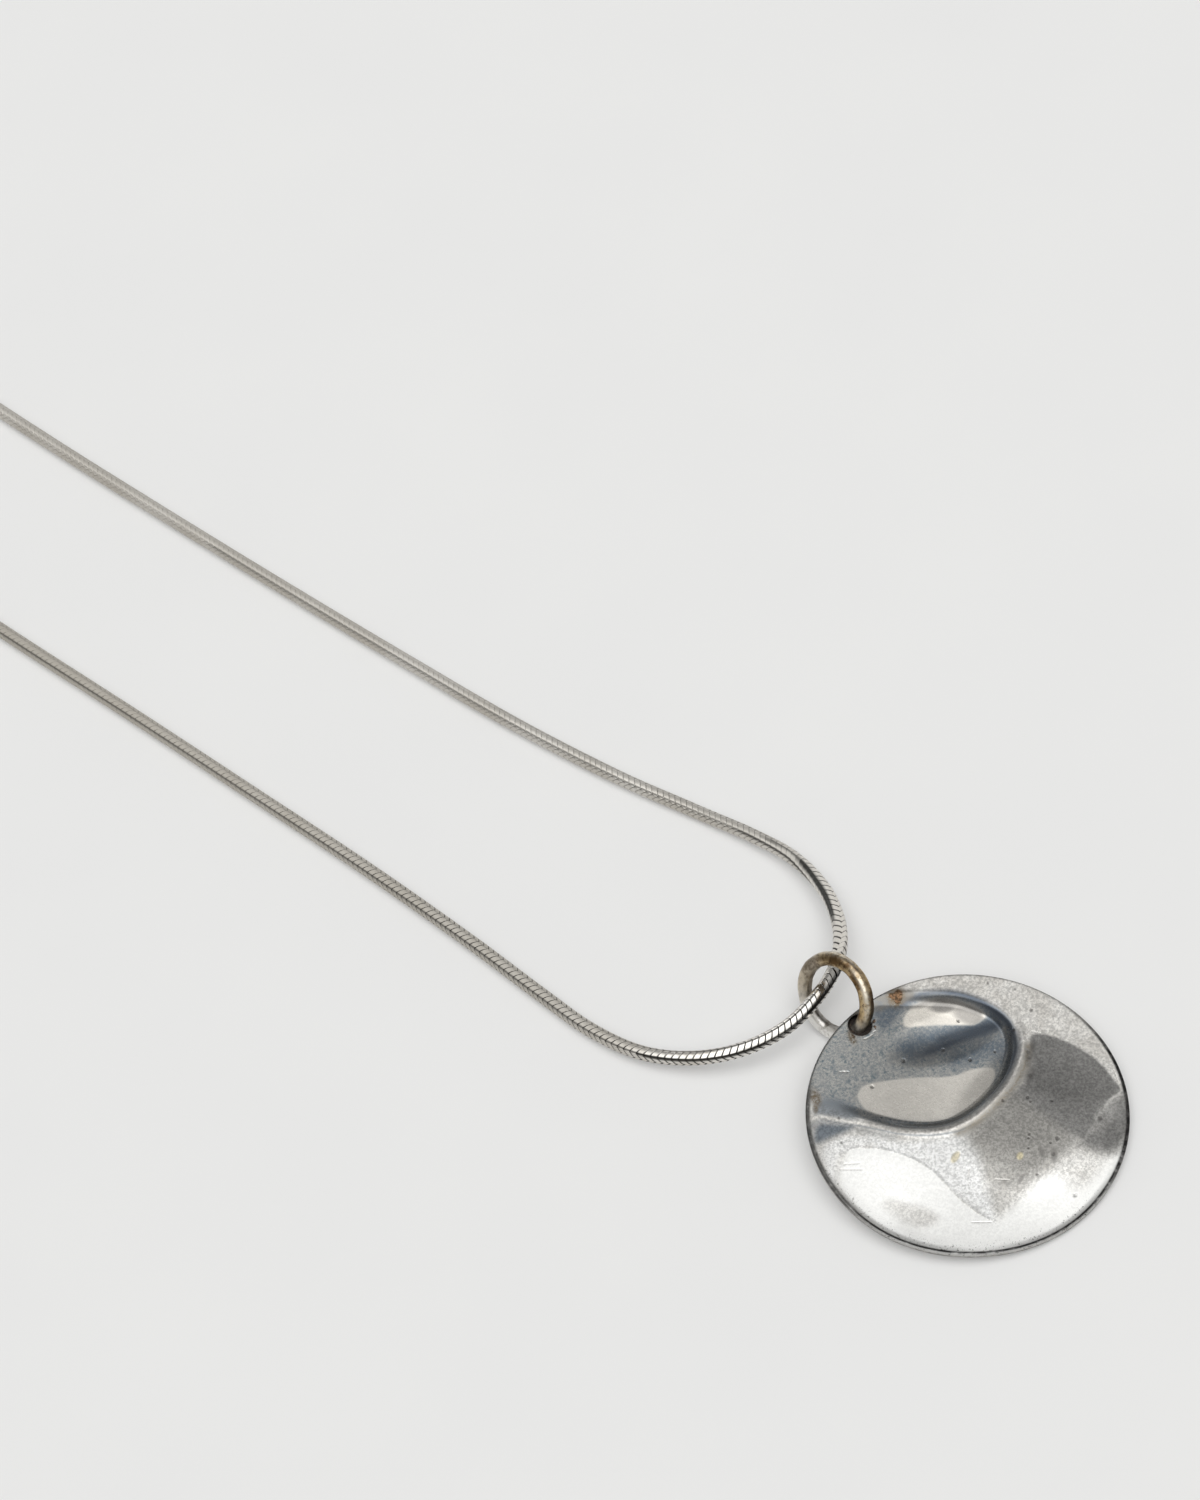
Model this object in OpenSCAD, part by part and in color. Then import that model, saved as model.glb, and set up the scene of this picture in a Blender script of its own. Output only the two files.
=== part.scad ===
/* [Pendant disc] */
// Diameter of the cast disc
disc_d = 32; // [28:0.5:36]
// Thickness of the sheet, the same all over
disc_t = 0.7; // [0.6:0.05:0.9]
// How far the middle lies below the rim
disc_dish = 0.25; // [0:0.05:0.5]
// Diameter of the hole for the jump ring
hole_d = 2.4; // [2.3:0.05:2.45]
// Distance from the rim to the middle of the hole
hole_inset = 1.5; // [1.4:0.05:1.8]
// Depth of the polished scoop below the rest of the face
scoop_depth = 0.9; // [0.4:0.1:1.1]
// Width of the scoop's steep wall
scoop_wall = 1.2; // [1:0.1:2]
// Height of the lip that stands along the scoop's wall
lip_height = 0.14; // [0:0.02:0.2]

/* [Jump ring] */
// Diameter of the ring's wire
wire_d = 1.5; // [1.3:0.05:1.55]
// Diameter of the ring at the middle of its wire
ring_d = 7.9; // [7.7:0.1:8.1]
// How far the ring leans from lying flat, in degrees
ring_lean = 62.5; // [62:0.5:63]

/* [Snake chain] */
// Diameter of the chain across its flats
chain_d = 1.5; // [1.4:0.1:1.6]

/* [Barrel clasp] */
// Diameter of the clasp's barrel
clasp_d = 3.2; // [3:0.1:3.6]
// Length of the clasp
clasp_l = 11; // [10:0.5:12]

/* [Hidden] */

// How the disc lies: its hole side is raised, and its lowest dent meets the table
disc_tilt = 4.8;
disc_lift = 2.045;
disc_r = disc_d / 2;
hole_at = [1.05, disc_r - hole_inset];
hole_y = -93.95;
disc_at = [0, hole_y - hole_at.y * cos(disc_tilt), disc_lift];

// Where the ring stands: it leans with its low side on the table
ring_r = ring_d / 2;
wire_r = wire_d / 2;
ring_turn = 176.5;
ring_at = [1.9, -90.2, ring_r * sin(ring_lean) + wire_r];

// The scoop's outline, measured from its own middle
scoop_at = [2.5, 8];
scoop_step = 30;
// Columns: reach of the outline at 0, 30, 60 and so on degrees
scoop_reach = [8.2, 7, 7.1, 9, 12.5, 12.5, 9.8, 8.9, 8.8, 8.7, 9.3, 9.8];
// The scoop runs out towards the hole and is deepest at its far end
scoop_mouth = [-3, 15];
scoop_heading = -52;
scoop_run = 13;
// Where the lip stands outside the scoop's outline, and how wide it is
lip_out = 0.55;
lip_width = 0.38;

// The lip fades out on the scoop's far side: the side it keeps, and the place and width of the fade
lip_heading = 235;
lip_from = -1.5;
lip_fade = 3;

// Columns: x, y, half length, half width, turn in degrees, depth, share of the radius that slopes
DENTS = [
    [-15.2, -2, 9.5, 7.9, 86, 0.5, 0.9],
    [-12.6, -2.3, 2.9, 1.5, 72, 0.04, 0.85],
    [-3.8, -16.2, 10.5, 6.8, -10, 0.5, 0.9],
    [8.6, -12.2, 4, 2, 34, 0.15, 0.8],
    [9.6, -5, 4, 3.3, 96, 0.1, 0.6],
    [5.6, 7.4, 6.2, 2.7, -28, 0.22, 0.85],
];
// The broad swell between them, in the same columns with its height
SWELL = [3.4, -5.4, 7.6, 9.6, 92, 0.46, 0.66];
// How round the creases are, how much of the forms the rim itself follows, and how wide the rim's band is
crease_round = 0.12;
rim_share = 0.55;
rim_band = 0.9;

// The disc's mesh: circles of points, and points on each circle
disc_circles = 24;
disc_spokes = 96;

// The chain's own middle line, from one end of the clasp round to the other
CHAIN_ROUTE = [
    [-6.4, 122.9, 1.6],
    [-8.8, 122.9, 1.6],
    [-11.6, 121.8, 1.4],
    [-13.5, 119.3, 1.1],
    [-14.3, 115.5, 0.9],
    [-14.5, 108.5, 0.75],
    [-14.5, 97, 0.75],
    [-14.4, 80, 0.75],
    [-14.2, 62, 0.75],
    [-14, 44, 0.75],
    [-13.9, 27, 0.75],
    [-13.8, 10, 0.75],
    [-13.55, -7, 0.75],
    [-13.45, -24, 0.75],
    [-13.4, -40, 0.75],
    [-13.75, -54, 0.75],
    [-14.3, -64.5, 0.75],
    [-14.55, -71.5, 0.85],
    [-13.75, -77.45, 1.2],
    [-11.5, -82.2, 1.8],
    [-8.15, -85.8, 2.5],
    [-3.9, -88, 3.1],
    [0.6, -88.4, 3.4],
    [5, -87.5, 3.3],
    [9, -84.9, 2.9],
    [12.2, -80.5, 2.2],
    [13.9, -75, 1.5],
    [13.8, -69.5, 1.1],
    [12.8, -62.5, 0.75],
    [11.25, -53, 0.75],
    [10, -40, 0.75],
    [9.35, -25, 0.75],
    [8.85, -9, 0.75],
    [8.5, 8, 0.75],
    [8.3, 25, 0.75],
    [8.4, 42, 0.75],
    [8.7, 60, 0.75],
    [9.1, 78, 0.75],
    [9.4, 95, 0.75],
    [9.5, 108.5, 0.75],
    [9.3, 115.5, 0.9],
    [8.5, 119.3, 1.1],
    [6.6, 121.8, 1.4],
    [3.8, 122.9, 1.6],
    [1.4, 122.9, 1.6],
];
chain_sides = 8;
chain_corner_r = chain_d / 2 / cos(180 / chain_sides);
// Spans of the route shorter than this take one more ring at their middle
chain_split = 16.5;

// The clasp lies across the far end of the loop
clasp_at = [-2.5, 122.9, 1.6];
clasp_r = clasp_d / 2;
socket_r = 1;
socket_depth = 2.2;
clasp_groove = 0.25;

// 0 below a span, 1 above it and smooth between
function eased(t) = let (c = max(0, min(1, t))) c * c * (3 - 2 * c);

// One value on a smooth curve through four neighbours, t from 0 to 1
function through(a, b, c, d, t) =
    b + t / 2 * (c - a + t * (2 * a - 5 * b + 4 * c - d + t * (3 * (b - c) + d - a)));

// 0 below a span, 1 above it and straight between, with rounded ends
function ramp(t) = (norm([t, crease_round]) - norm([t - 1, crease_round]) + 1) / 2;

// 1 in the middle of an oval facet and 0 outside it
function oval(p, row) =
    let (
        q = p - [row[0], row[1]],
        along = (q.x * cos(row[4]) + q.y * sin(row[4])) / row[2],
        across = (q.y * cos(row[4]) - q.x * sin(row[4])) / row[3]
    ) ramp((1 - norm([along, across])) / row[6]);

function sum(list, i = 0) = i < len(list) ? list[i] + sum(list, i + 1) : 0;

// How far the scoop's outline is from its middle, in the direction of an angle
function reach(angle) =
    let (
        count = len(scoop_reach),
        turn = (angle + 360) / scoop_step,
        i = floor(turn),
        row = [for (k = [-1:2]) scoop_reach[(i + k) % count]]
    ) through(row[0], row[1], row[2], row[3], turn - i);

// How far a point is outside the scoop's outline, negative inside it
function outside_scoop(p) =
    let (q = p - scoop_at) norm(q) - reach(atan2(q.y, q.x));

// How deep the scoop's floor is at a point
function scoop_floor(p) =
    let (q = p - scoop_mouth)
    eased((q.x * cos(scoop_heading) + q.y * sin(scoop_heading)) / scoop_run);

// Height of the lip at a point
function lip(p) =
    let (q = p - scoop_at, side = q.x * cos(lip_heading) + q.y * sin(lip_heading))
    lip_height * exp(-pow((outside_scoop(p) - lip_out) / lip_width, 2))
    * eased((side - lip_from) / lip_fade);

// Height of the disc's back face over the plane of its rim
function relief(p) =
    let (rim = rim_share + (1 - rim_share) * eased((disc_r - norm(p)) / rim_band))
    disc_dish * (pow(norm(p) / disc_r, 2) - 1)
    + rim * (
        scoop_floor(p) * (lip(p) - scoop_depth * eased(-outside_scoop(p) / scoop_wall))
        + SWELL[5] * oval(p, SWELL)
        - sum([for (row = DENTS) row[5] * oval(p, row)])
    );

// A point of the disc's mesh: circle i from the middle, spoke j
function disc_point(i, j) =
    let (r = disc_r * i / disc_circles, a = 360 * j / disc_spokes) [r * cos(a), r * sin(a)];

// The disc as one sheet of even thickness, pressed to the relief
module pressed_sheet() {
    flat = [[0, 0], for (i = [1:disc_circles]) for (j = [0:disc_spokes - 1]) disc_point(i, j)];
    heights = [for (p = flat) relief(p)];
    count = len(flat);
    top = [for (k = [0:count - 1]) [flat[k].x, flat[k].y, heights[k] + disc_t / 2]];
    bottom = [for (p = top) p - [0, 0, disc_t]];
    next = [for (j = [0:disc_spokes - 1]) (j + 1) % disc_spokes];
    fan = [for (j = [0:disc_spokes - 1]) [0, 1 + next[j], 1 + j]];
    bands = [
        for (i = [0:disc_circles - 2]) for (j = [0:disc_spokes - 1])
            let (a = 1 + i * disc_spokes, b = a + disc_spokes)
            each [[a + j, a + next[j], b + j], [a + next[j], b + next[j], b + j]]
    ];
    upper = concat(fan, bands);
    edge = 1 + (disc_circles - 1) * disc_spokes;
    wall = [
        for (j = [0:disc_spokes - 1])
            let (a = edge + j, b = edge + next[j])
            each [[a, b, a + count], [b, b + count, a + count]]
    ];
    lower = [for (f = upper) [f[0] + count, f[2] + count, f[1] + count]];
    polyhedron(points = concat(top, bottom), faces = concat(upper, lower, wall), convexity = 8);
}

// Thin round disc seen from its back, with the hole at its rim
module pendant_disc() {
    color("silver")
        translate(disc_at)
            rotate([disc_tilt, 0, 0])
                difference() {
                    pressed_sheet();
                    translate([hole_at.x, hole_at.y, -2])
                        cylinder(h = 4, d = hole_d, $fn = 48);
                }
}

// Jump ring of round wire, through the disc's hole and round the chain
module jump_ring() {
    color("darkgoldenrod")
        translate(ring_at)
            rotate([0, ring_lean, ring_turn])
                rotate_extrude($fn = 96)
                    translate([ring_r, 0])
                        circle(r = wire_r, $fn = 32);
}

// A point on the chain's middle line, t spans along it, never sunk into the table
function chain_point(t) =
    let (
        last = len(CHAIN_ROUTE) - 1,
        i = min(floor(t), last - 1),
        a = CHAIN_ROUTE[max(i - 1, 0)],
        d = CHAIN_ROUTE[min(i + 2, last)],
        p = through(a, CHAIN_ROUTE[i], CHAIN_ROUTE[i + 1], d, t - i)
    ) [p.x, p.y, max(p.z, chain_d / 2)];

// The chain's corners round the point t spans along it
function chain_ring(t) =
    let (
        step = 0.01,
        span = len(CHAIN_ROUTE) - 1,
        ahead = chain_point(min(t + step, span)) - chain_point(max(t - step, 0)),
        side = cross(ahead, [0, 0, 1]) / norm(cross(ahead, [0, 0, 1])),
        up = cross(side, ahead) / norm(ahead)
    ) [
        for (k = [0:chain_sides - 1])
            let (a = 360 * (k + 0.5) / chain_sides)
            chain_point(t) + chain_corner_r * (cos(a) * side + sin(a) * up)
    ];

// Round snake chain as one tube, from clasp end to clasp end
module snake_chain() {
    spans = len(CHAIN_ROUTE) - 1;
    stops = [
        for (i = [0:spans - 1])
            each norm(CHAIN_ROUTE[i + 1] - CHAIN_ROUTE[i]) < chain_split ? [i, i + 0.5] : [i],
        spans
    ];
    points = [for (t = stops) each chain_ring(t)];
    rings = len(stops);
    side_faces = [
        for (i = [0:rings - 2]) for (k = [0:chain_sides - 1])
            let (a = i * chain_sides, b = a + chain_sides, n = (k + 1) % chain_sides)
            each [[a + k, a + n, b + k], [a + n, b + n, b + k]]
    ];
    start = [for (k = [0:chain_sides - 1]) chain_sides - 1 - k];
    end = [for (k = [0:chain_sides - 1]) (rings - 1) * chain_sides + k];
    color("gainsboro")
        polyhedron(points = points, faces = concat([start], side_faces, [end]), convexity = 8);
}

// Plain barrel clasp, its two ends bored for the chain
module barrel_clasp() {
    half = clasp_l / 2;
    neck = clasp_r - clasp_groove;
    color("silver")
        translate(clasp_at)
            rotate([0, 90, 0])
                rotate_extrude($fn = 48)
                    polygon([
                        [0, -half + socket_depth],
                        [socket_r, -half + socket_depth],
                        [socket_r, -half],
                        [clasp_r - 0.4, -half],
                        [clasp_r, -half + 0.8],
                        [clasp_r, -0.3],
                        [neck, -0.15],
                        [neck, 0.15],
                        [clasp_r, 0.3],
                        [clasp_r, half - 0.8],
                        [clasp_r - 0.4, half],
                        [socket_r, half],
                        [socket_r, half - socket_depth],
                        [0, half - socket_depth],
                    ]);
}

pendant_disc();
jump_ring();
snake_chain();
barrel_clasp();
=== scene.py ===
# %% [markdown]
# A disc pendant on a snake chain, finished in Blender.
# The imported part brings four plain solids: the disc, its jump ring, the chain as a tube, and the clasp.
# They have the right sizes and places, so each piece below is made where its solid is and stands for it.
# The work goes from the room to the piece: camera, table, light, then disc, ring, chain and clasp.

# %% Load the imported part
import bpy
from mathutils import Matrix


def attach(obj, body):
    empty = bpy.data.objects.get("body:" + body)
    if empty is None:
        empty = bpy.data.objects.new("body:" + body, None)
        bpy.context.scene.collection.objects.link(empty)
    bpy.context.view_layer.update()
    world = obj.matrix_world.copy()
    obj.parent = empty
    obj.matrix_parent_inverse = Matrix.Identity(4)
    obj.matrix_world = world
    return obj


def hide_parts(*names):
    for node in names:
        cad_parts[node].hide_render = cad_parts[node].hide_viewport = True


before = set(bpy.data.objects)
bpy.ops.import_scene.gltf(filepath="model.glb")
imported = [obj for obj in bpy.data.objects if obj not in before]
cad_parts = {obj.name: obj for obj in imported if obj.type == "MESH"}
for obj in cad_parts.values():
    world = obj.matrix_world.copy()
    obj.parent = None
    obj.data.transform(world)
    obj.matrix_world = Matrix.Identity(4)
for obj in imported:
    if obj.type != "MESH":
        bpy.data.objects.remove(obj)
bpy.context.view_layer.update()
print("nodes:", sorted(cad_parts))

# %% [markdown]
# Sizes of jewellery are thought of in millimetres and Blender counts in metres, so one factor joins them.
# Colours are given as sRGB hex values, as a colour picker shows them, and a shader works in linear light.
# Each material is a small tree of nodes. One function adds a node, sets it up and links its inputs.

# %% Units, colours and nodes
import math

import bpy
import numpy as np
from mathutils import Matrix, Vector

MM = 0.001
scene = bpy.context.scene


def linear(hex_colour):
    """An sRGB hex colour as linear red, green, blue and an alpha of 1."""
    parts = [int(hex_colour[i : i + 2], 16) / 255 for i in (1, 3, 5)]
    return [c / 12.92 if c <= 0.04045 else ((c + 0.055) / 1.055) ** 2.4 for c in parts] + [1]


def add(tree, kind, inputs=None, **settings):
    """Adds one shader node. inputs maps a socket's name or number to a value, or to the output feeding it."""
    node = tree.nodes.new("ShaderNode" + kind)
    for name, value in settings.items():
        setattr(node, name, value)
    for name, value in (inputs or {}).items():
        if isinstance(value, bpy.types.NodeSocket):
            tree.links.new(value, node.inputs[name])
        else:
            node.inputs[name].default_value = value
    return node


# %% [markdown]
# A finish is built as it came about: a base colour first, and then films, dirt and wear over it, one after
# another. Marks say how thick each layer lies: patterns of noise, whose blobs have a size in millimetres,
# and masks that are drawn on a mesh. A layer's amount is the product of its marks.
# The functions below work on the material at hand, whose nodes and marks are always called tree and marks.

# %% Finishes in layers
def start_material(name, patterns, masks=()):
    """A new material, its node tree, and its marks by name: patterns of noise and masks on the mesh."""
    material = bpy.data.materials.new(name)
    material.use_nodes = True
    tree = material.node_tree
    tree.nodes.clear()
    here = add(tree, "TexCoord").outputs["Object"]
    marks = {"here": here}
    for title, (size_mm, detail, rough) in patterns.items():
        values = {"Vector": here, "Scale": 1 / (size_mm * MM), "Detail": detail, "Roughness": rough}
        marks[title] = add(tree, "TexNoise", values).outputs[0]
    for title in masks:
        marks[title] = add(tree, "Attribute", attribute_name=title).outputs["Fac"]
    return material, tree, marks


def amount(*parts):
    """The product of marks, numbers, and marks moved from a span to another, which is 0 to 1 if not said."""
    product = None
    for part in parts:
        if isinstance(part, tuple):
            mark, low, high, start, end = (*part, 0, 1)[:5]
            mark = marks[mark] if isinstance(mark, str) else mark
            moved = {"Value": mark, "From Min": low, "From Max": high, "To Min": start, "To Max": end}
            part = add(tree, "MapRange", moved, interpolation_type="SMOOTHSTEP").outputs[0]
        elif isinstance(part, str):
            part = marks[part]
        if product is not None:
            part = add(tree, "Math", {0: product, 1: part}, operation="MULTIPLY").outputs[0]
        product = part
    return product


def laid(base, *layers):
    """A base colour with others laid over it. Each of them comes with the parts of its amount."""
    for colour, *parts in layers:
        under, top = [linear(c) if isinstance(c, str) else c for c in (base, colour)]
        base = add(tree, "Mix", {0: amount(*parts), 6: under, 7: top}, data_type="RGBA").outputs[2]
    return base


def close_material(colour, rough, height, depth_mm, strength, metallic=1):
    """Ends a tree with its shader, which has the given depth of skin from a pattern of heights."""
    bumps = {"Strength": strength, "Distance": depth_mm * MM, "Height": height}
    bumps = add(tree, "Bump", bumps).outputs[0]
    values = {"Base Color": colour, "Metallic": metallic, "Roughness": rough, "Normal": bumps}
    add(tree, "OutputMaterial", {"Surface": add(tree, "BsdfPrincipled", values).outputs[0]})


# %% [markdown]
# The photograph looks down on the necklace from its near left, and the far end of the loop is out of view.
# The camera's place was worked out from how the disc's circle and the spacing of the links shrink with
# distance. A long lens stands well back, as in catalogue work, so the near bend isn't swollen.

# %% Camera
camera_at = Vector((-233.1, -312.5, 477.7)) * MM
heading, looking_down, roll = 46.94, 52.94, -8
camera = bpy.data.objects.new("camera", bpy.data.cameras.new("camera"))
camera.data.lens, camera.data.sensor_width, camera.data.clip_start = 137.3, 36, 0.01
turns = (heading - 90, "Z"), (90 - looking_down, "X"), (roll, "Z")
camera.matrix_world = Matrix.Translation(camera_at)
for angle, axis in turns:
    camera.matrix_world = camera.matrix_world @ Matrix.Rotation(math.radians(angle), 4, axis)
scene.collection.objects.link(camera)
scene.camera = camera
print("camera to disc: %.0f mm" % ((camera_at - Vector((0, -0.108, 0))).length / MM))

# %% [markdown]
# The table is a matt sheet of opal acrylic, as product photographers use: it is lit from above and glows
# weakly from below, so the shadows that lie on it stay light. It takes no reflection.
# It reaches far past the necklace, so that views from low down still see it.

# %% Table
table_reach = 6
table_mesh = bpy.data.meshes.new("table")
corners = [(x * table_reach, y * table_reach, -0.02 * MM) for x, y in ((-1, -1), (1, -1), (1, 1), (-1, 1))]
table_mesh.from_pydata(corners, [], [(0, 1, 2, 3)])
table = bpy.data.objects.new("table", table_mesh)
scene.collection.objects.link(table)

# A sheet's own clouds are faint and a few centimetres across
board, tree, marks = start_material("opal_acrylic_sheet", {"clouds": (25, 2, 0.5)})
sheet = {
    "Base Color": laid("#D4D4D4", ("#D8D8D7", "clouds")),
    "Roughness": 0.9,
    "Emission Color": linear("#FFFFFF"),
    "Emission Strength": 0.15,
}
add(tree, "OutputMaterial", {"Surface": add(tree, "BsdfPrincipled", sheet).outputs[0]})
table_mesh.materials.append(board)
print("table: %.0f m wide" % (2 * table_reach))

# %% [markdown]
# Silver has hardly a colour of its own: it shows what stands round it. So the light is built as a room.
# A wide soft box hangs overhead, a little towards the camera's left. The walls are a dim grey,
# the camera's own side is dark, and a pale band runs round the horizon where the board meets the wall.
# Made as the world's own light it is as even over the whole table as a tent is, and it has no hot spot.

# %% Light
world = bpy.data.worlds.new("studio")
scene.world = world
world.use_nodes = True
tree = world.node_tree
tree.nodes.clear()
look = add(tree, "TexCoord").outputs["Generated"]
walls, horizon_band, band_low, band_high = 0.36, 0.80, 0.06, 0.30
# Round patches of the room as seen from the table: bearing, height, reach and fade in degrees, and light
PATCHES = {
    "far wall": (40, 36, 28, 14, 0.26),
    "behind the camera": (227, 42, 20, 10, 0.10),
    "soft box": (228, 76, 36, 10, 2.1),
}
room = walls
for bearing, lift, reach, fade, level in PATCHES.values():
    turn, lift = math.radians(bearing), math.radians(lift)
    middle = (math.cos(lift) * math.cos(turn), math.cos(lift) * math.sin(turn), math.sin(lift))
    near = add(tree, "VectorMath", {0: look, 1: middle}, operation="DOT_PRODUCT")
    edge = {
        "Value": near.outputs["Value"],
        "From Min": math.cos(math.radians(reach + fade)),
        "From Max": math.cos(math.radians(max(reach - fade, 0))),
    }
    inside_patch = add(tree, "MapRange", edge, interpolation_type="SMOOTHSTEP").outputs[0]
    room = add(tree, "Mix", {0: inside_patch, 2: room, 3: level}, data_type="FLOAT").outputs[0]
height = add(tree, "SeparateXYZ", {0: look}).outputs["Z"]
edge = {"Value": height, "From Min": band_high, "From Max": band_low}
low = add(tree, "MapRange", edge, interpolation_type="SMOOTHSTEP").outputs[0]
room = add(tree, "Mix", {0: low, 2: room, 3: horizon_band}, data_type="FLOAT").outputs[0]
glow = add(tree, "Background", {"Color": linear("#FFFFFE"), "Strength": room})
add(tree, "OutputWorld", {"Surface": glow.outputs[0]})
scene.view_settings.view_transform = "Standard"
print("patches of light:", len(PATCHES))

# %% [markdown]
# The disc was cast or pressed from sheet and then part polished. What shows is its back: a deep smooth
# scoop with a lip round it, six dents, a broad swell between them and a rim that stands a little proud.
# The solid has this relief in coarse facets. Here the same heights are worked out again on a much finer
# mesh, because polished metal shows every facet as a kink in its reflections.

# %% Heights of the disc
disc_r, disc_t, disc_dish = 16, 0.7, 0.25
hole_at, hole_d = (1.05, 14.5), 2.4
scoop_at, scoop_step = (2.5, 8), 30
scoop_reach = np.array([8.2, 7, 7.1, 9, 12.5, 12.5, 9.8, 8.9, 8.8, 8.7, 9.3, 9.8])
scoop_mouth, scoop_heading, scoop_run = (-3, 15), -52, 13
scoop_depth, scoop_wall, lip_height, lip_out, lip_width = 0.9, 1.2, 0.14, 0.55, 0.38
lip_heading, lip_from, lip_fade = 235, -1.5, 3
crease_round, rim_share, rim_band = 0.12, 0.55, 0.9
# Columns: x, y, half length, half width, turn in degrees, height, and share of the radius that slopes
FACETS = [
    (3.4, -5.4, 7.6, 9.6, 92, 0.46, 0.66),
    (-15.2, -2, 9.5, 7.9, 86, -0.5, 0.9),
    (-12.6, -2.3, 2.9, 1.5, 72, -0.04, 0.85),
    (-3.8, -16.2, 10.5, 6.8, -10, -0.5, 0.9),
    (8.6, -12.2, 4, 2, 34, -0.15, 0.8),
    (9.6, -5, 4, 3.3, 96, -0.1, 0.6),
    (5.6, 7.4, 6.2, 2.7, -28, -0.22, 0.85),
]


def smooth(t):
    """0 below a span, 1 above it and an S-curve between."""
    c = np.clip(t, 0, 1)
    return c * c * (3 - 2 * c)


def through(a, b, c, d, t):
    """A value on a smooth curve through four neighbours, between the middle two."""
    return b + t / 2 * (c - a + t * (2 * a - 5 * b + 4 * c - d + t * (3 * (b - c) + d - a)))


def along(x, y, middle, turn):
    """Places measured along and across a direction, from a middle."""
    c, s = math.cos(math.radians(turn)), math.sin(math.radians(turn))
    return (x - middle[0]) * c + (y - middle[1]) * s, (y - middle[1]) * c - (x - middle[0]) * s


def outside_scoop(x, y):
    """How far places lie outside the scoop's outline, negative inside it."""
    qx, qy = x - scoop_at[0], y - scoop_at[1]
    turn = (np.degrees(np.arctan2(qy, qx)) + 360) / scoop_step
    i = np.floor(turn).astype(int)
    near = [scoop_reach[(i + k) % len(scoop_reach)] for k in (-1, 0, 1, 2)]
    return np.hypot(qx, qy) - through(*near, turn - i)


def ramp(t):
    """0 below a span, 1 above it and straight between, with rounded ends."""
    return (np.hypot(t, crease_round) - np.hypot(t - 1, crease_round) + 1) / 2


def relief(x, y):
    """Height of the disc's middle layer over the plane of its rim."""
    out = outside_scoop(x, y)
    floor = smooth(along(x, y, scoop_mouth, scoop_heading)[0] / scoop_run)
    side = smooth((along(x, y, scoop_at, lip_heading)[0] - lip_from) / lip_fade)
    rho = np.hypot(x, y)
    h = floor * lip_height * np.exp(-(((out - lip_out) / lip_width) ** 2)) * side
    h = h - floor * scoop_depth * smooth(-out / scoop_wall)
    for fx, fy, length, width, turn, rise, sloping in FACETS:
        a, b = along(x, y, (fx, fy), turn)
        h = h + rise * ramp((1 - np.hypot(a / length, b / width)) / sloping)
    follow = rim_share + (1 - rim_share) * smooth((disc_r - rho) / rim_band)
    return disc_dish * ((rho / disc_r) ** 2 - 1) + follow * h


print("deepest place of the scoop: %.2f mm" % relief(np.linspace(-8, 8, 99), np.full(99, 5)).min())

# %% [markdown]
# The disc is one closed skin: circles of points on the face, a small round over the rim, and the underside.
# A real rim is never sharp, because tumbling and wear take its corner off.

# %% Mesh of the disc
spokes, face_circles, back_circles = 540, 146, 22
edge_round = 0.2
edge_rows = [(math.sin(a) - 1, 1 - math.cos(a)) for a in np.radians((0, 25, 50, 75, 90))]


def disc_rows():
    """Radius of each row of points and its depth under the face, from the face's middle to the back's."""
    inner = disc_r - edge_round
    rows = [(inner * i / face_circles, 0) for i in range(1, face_circles)]
    rows += [(disc_r + edge_round * a, edge_round * b) for a, b in edge_rows]
    rows += [(disc_r + edge_round * a, disc_t - edge_round * b) for a, b in reversed(edge_rows)]
    rows += [(inner * i / back_circles, disc_t) for i in range(back_circles - 1, 0, -1)]
    return rows


def skin(count, size):
    """Faces of a closed skin over a count of equal rings of points, and the two end points after them."""
    k = np.arange(size)
    nxt = (k + 1) % size
    starts = np.arange(0, (count - 1) * size, size)
    faces = [np.c_[a + k, a + size + k, a + size + nxt, a + nxt] for a in starts]
    last, ends = (count - 1) * size, count * size
    caps = np.c_[np.full(size, ends), k, nxt], np.c_[last + nxt, last + k, np.full(size, ends + 1)]
    return np.concatenate(faces).tolist() + caps[0].tolist() + caps[1].tolist()


def new_object(name, points_mm, faces):
    """A mesh object from points in millimetres, linked to the scene."""
    mesh = bpy.data.meshes.new(name)
    mesh.from_pydata((np.asarray(points_mm) * MM).tolist(), [], faces)
    thing = bpy.data.objects.new(name, mesh)
    scene.collection.objects.link(thing)
    return thing


def disc_points():
    """Every point of the disc in its own frame, and the number of rings."""
    r, drop = np.array(disc_rows()).T[:, :, None]
    angle = np.linspace(0, 2 * math.pi, spokes, endpoint=False)
    x, y = r * np.cos(angle), r * np.sin(angle)
    z = relief(x, y) + disc_t / 2 - drop
    points = np.stack([x, y, z], -1).reshape(-1, 3)
    middle = relief(np.zeros(1), np.zeros(1))[0]
    ends = [[0, 0, middle + disc_t / 2], [0, 0, middle - disc_t / 2]]
    return np.concatenate([points, ends]), len(r)


points, ring_count = disc_points()
disc = new_object("pendant_disc_cast", points, skin(ring_count, spokes))
print("disc before drilling: %d points" % len(points))

# %% [markdown]
# The hole in a pendant is drilled after casting. It could be left open in the skin, but a boolean with a
# plain drill is the same act, and it leaves a clean bore through both faces.

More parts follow.
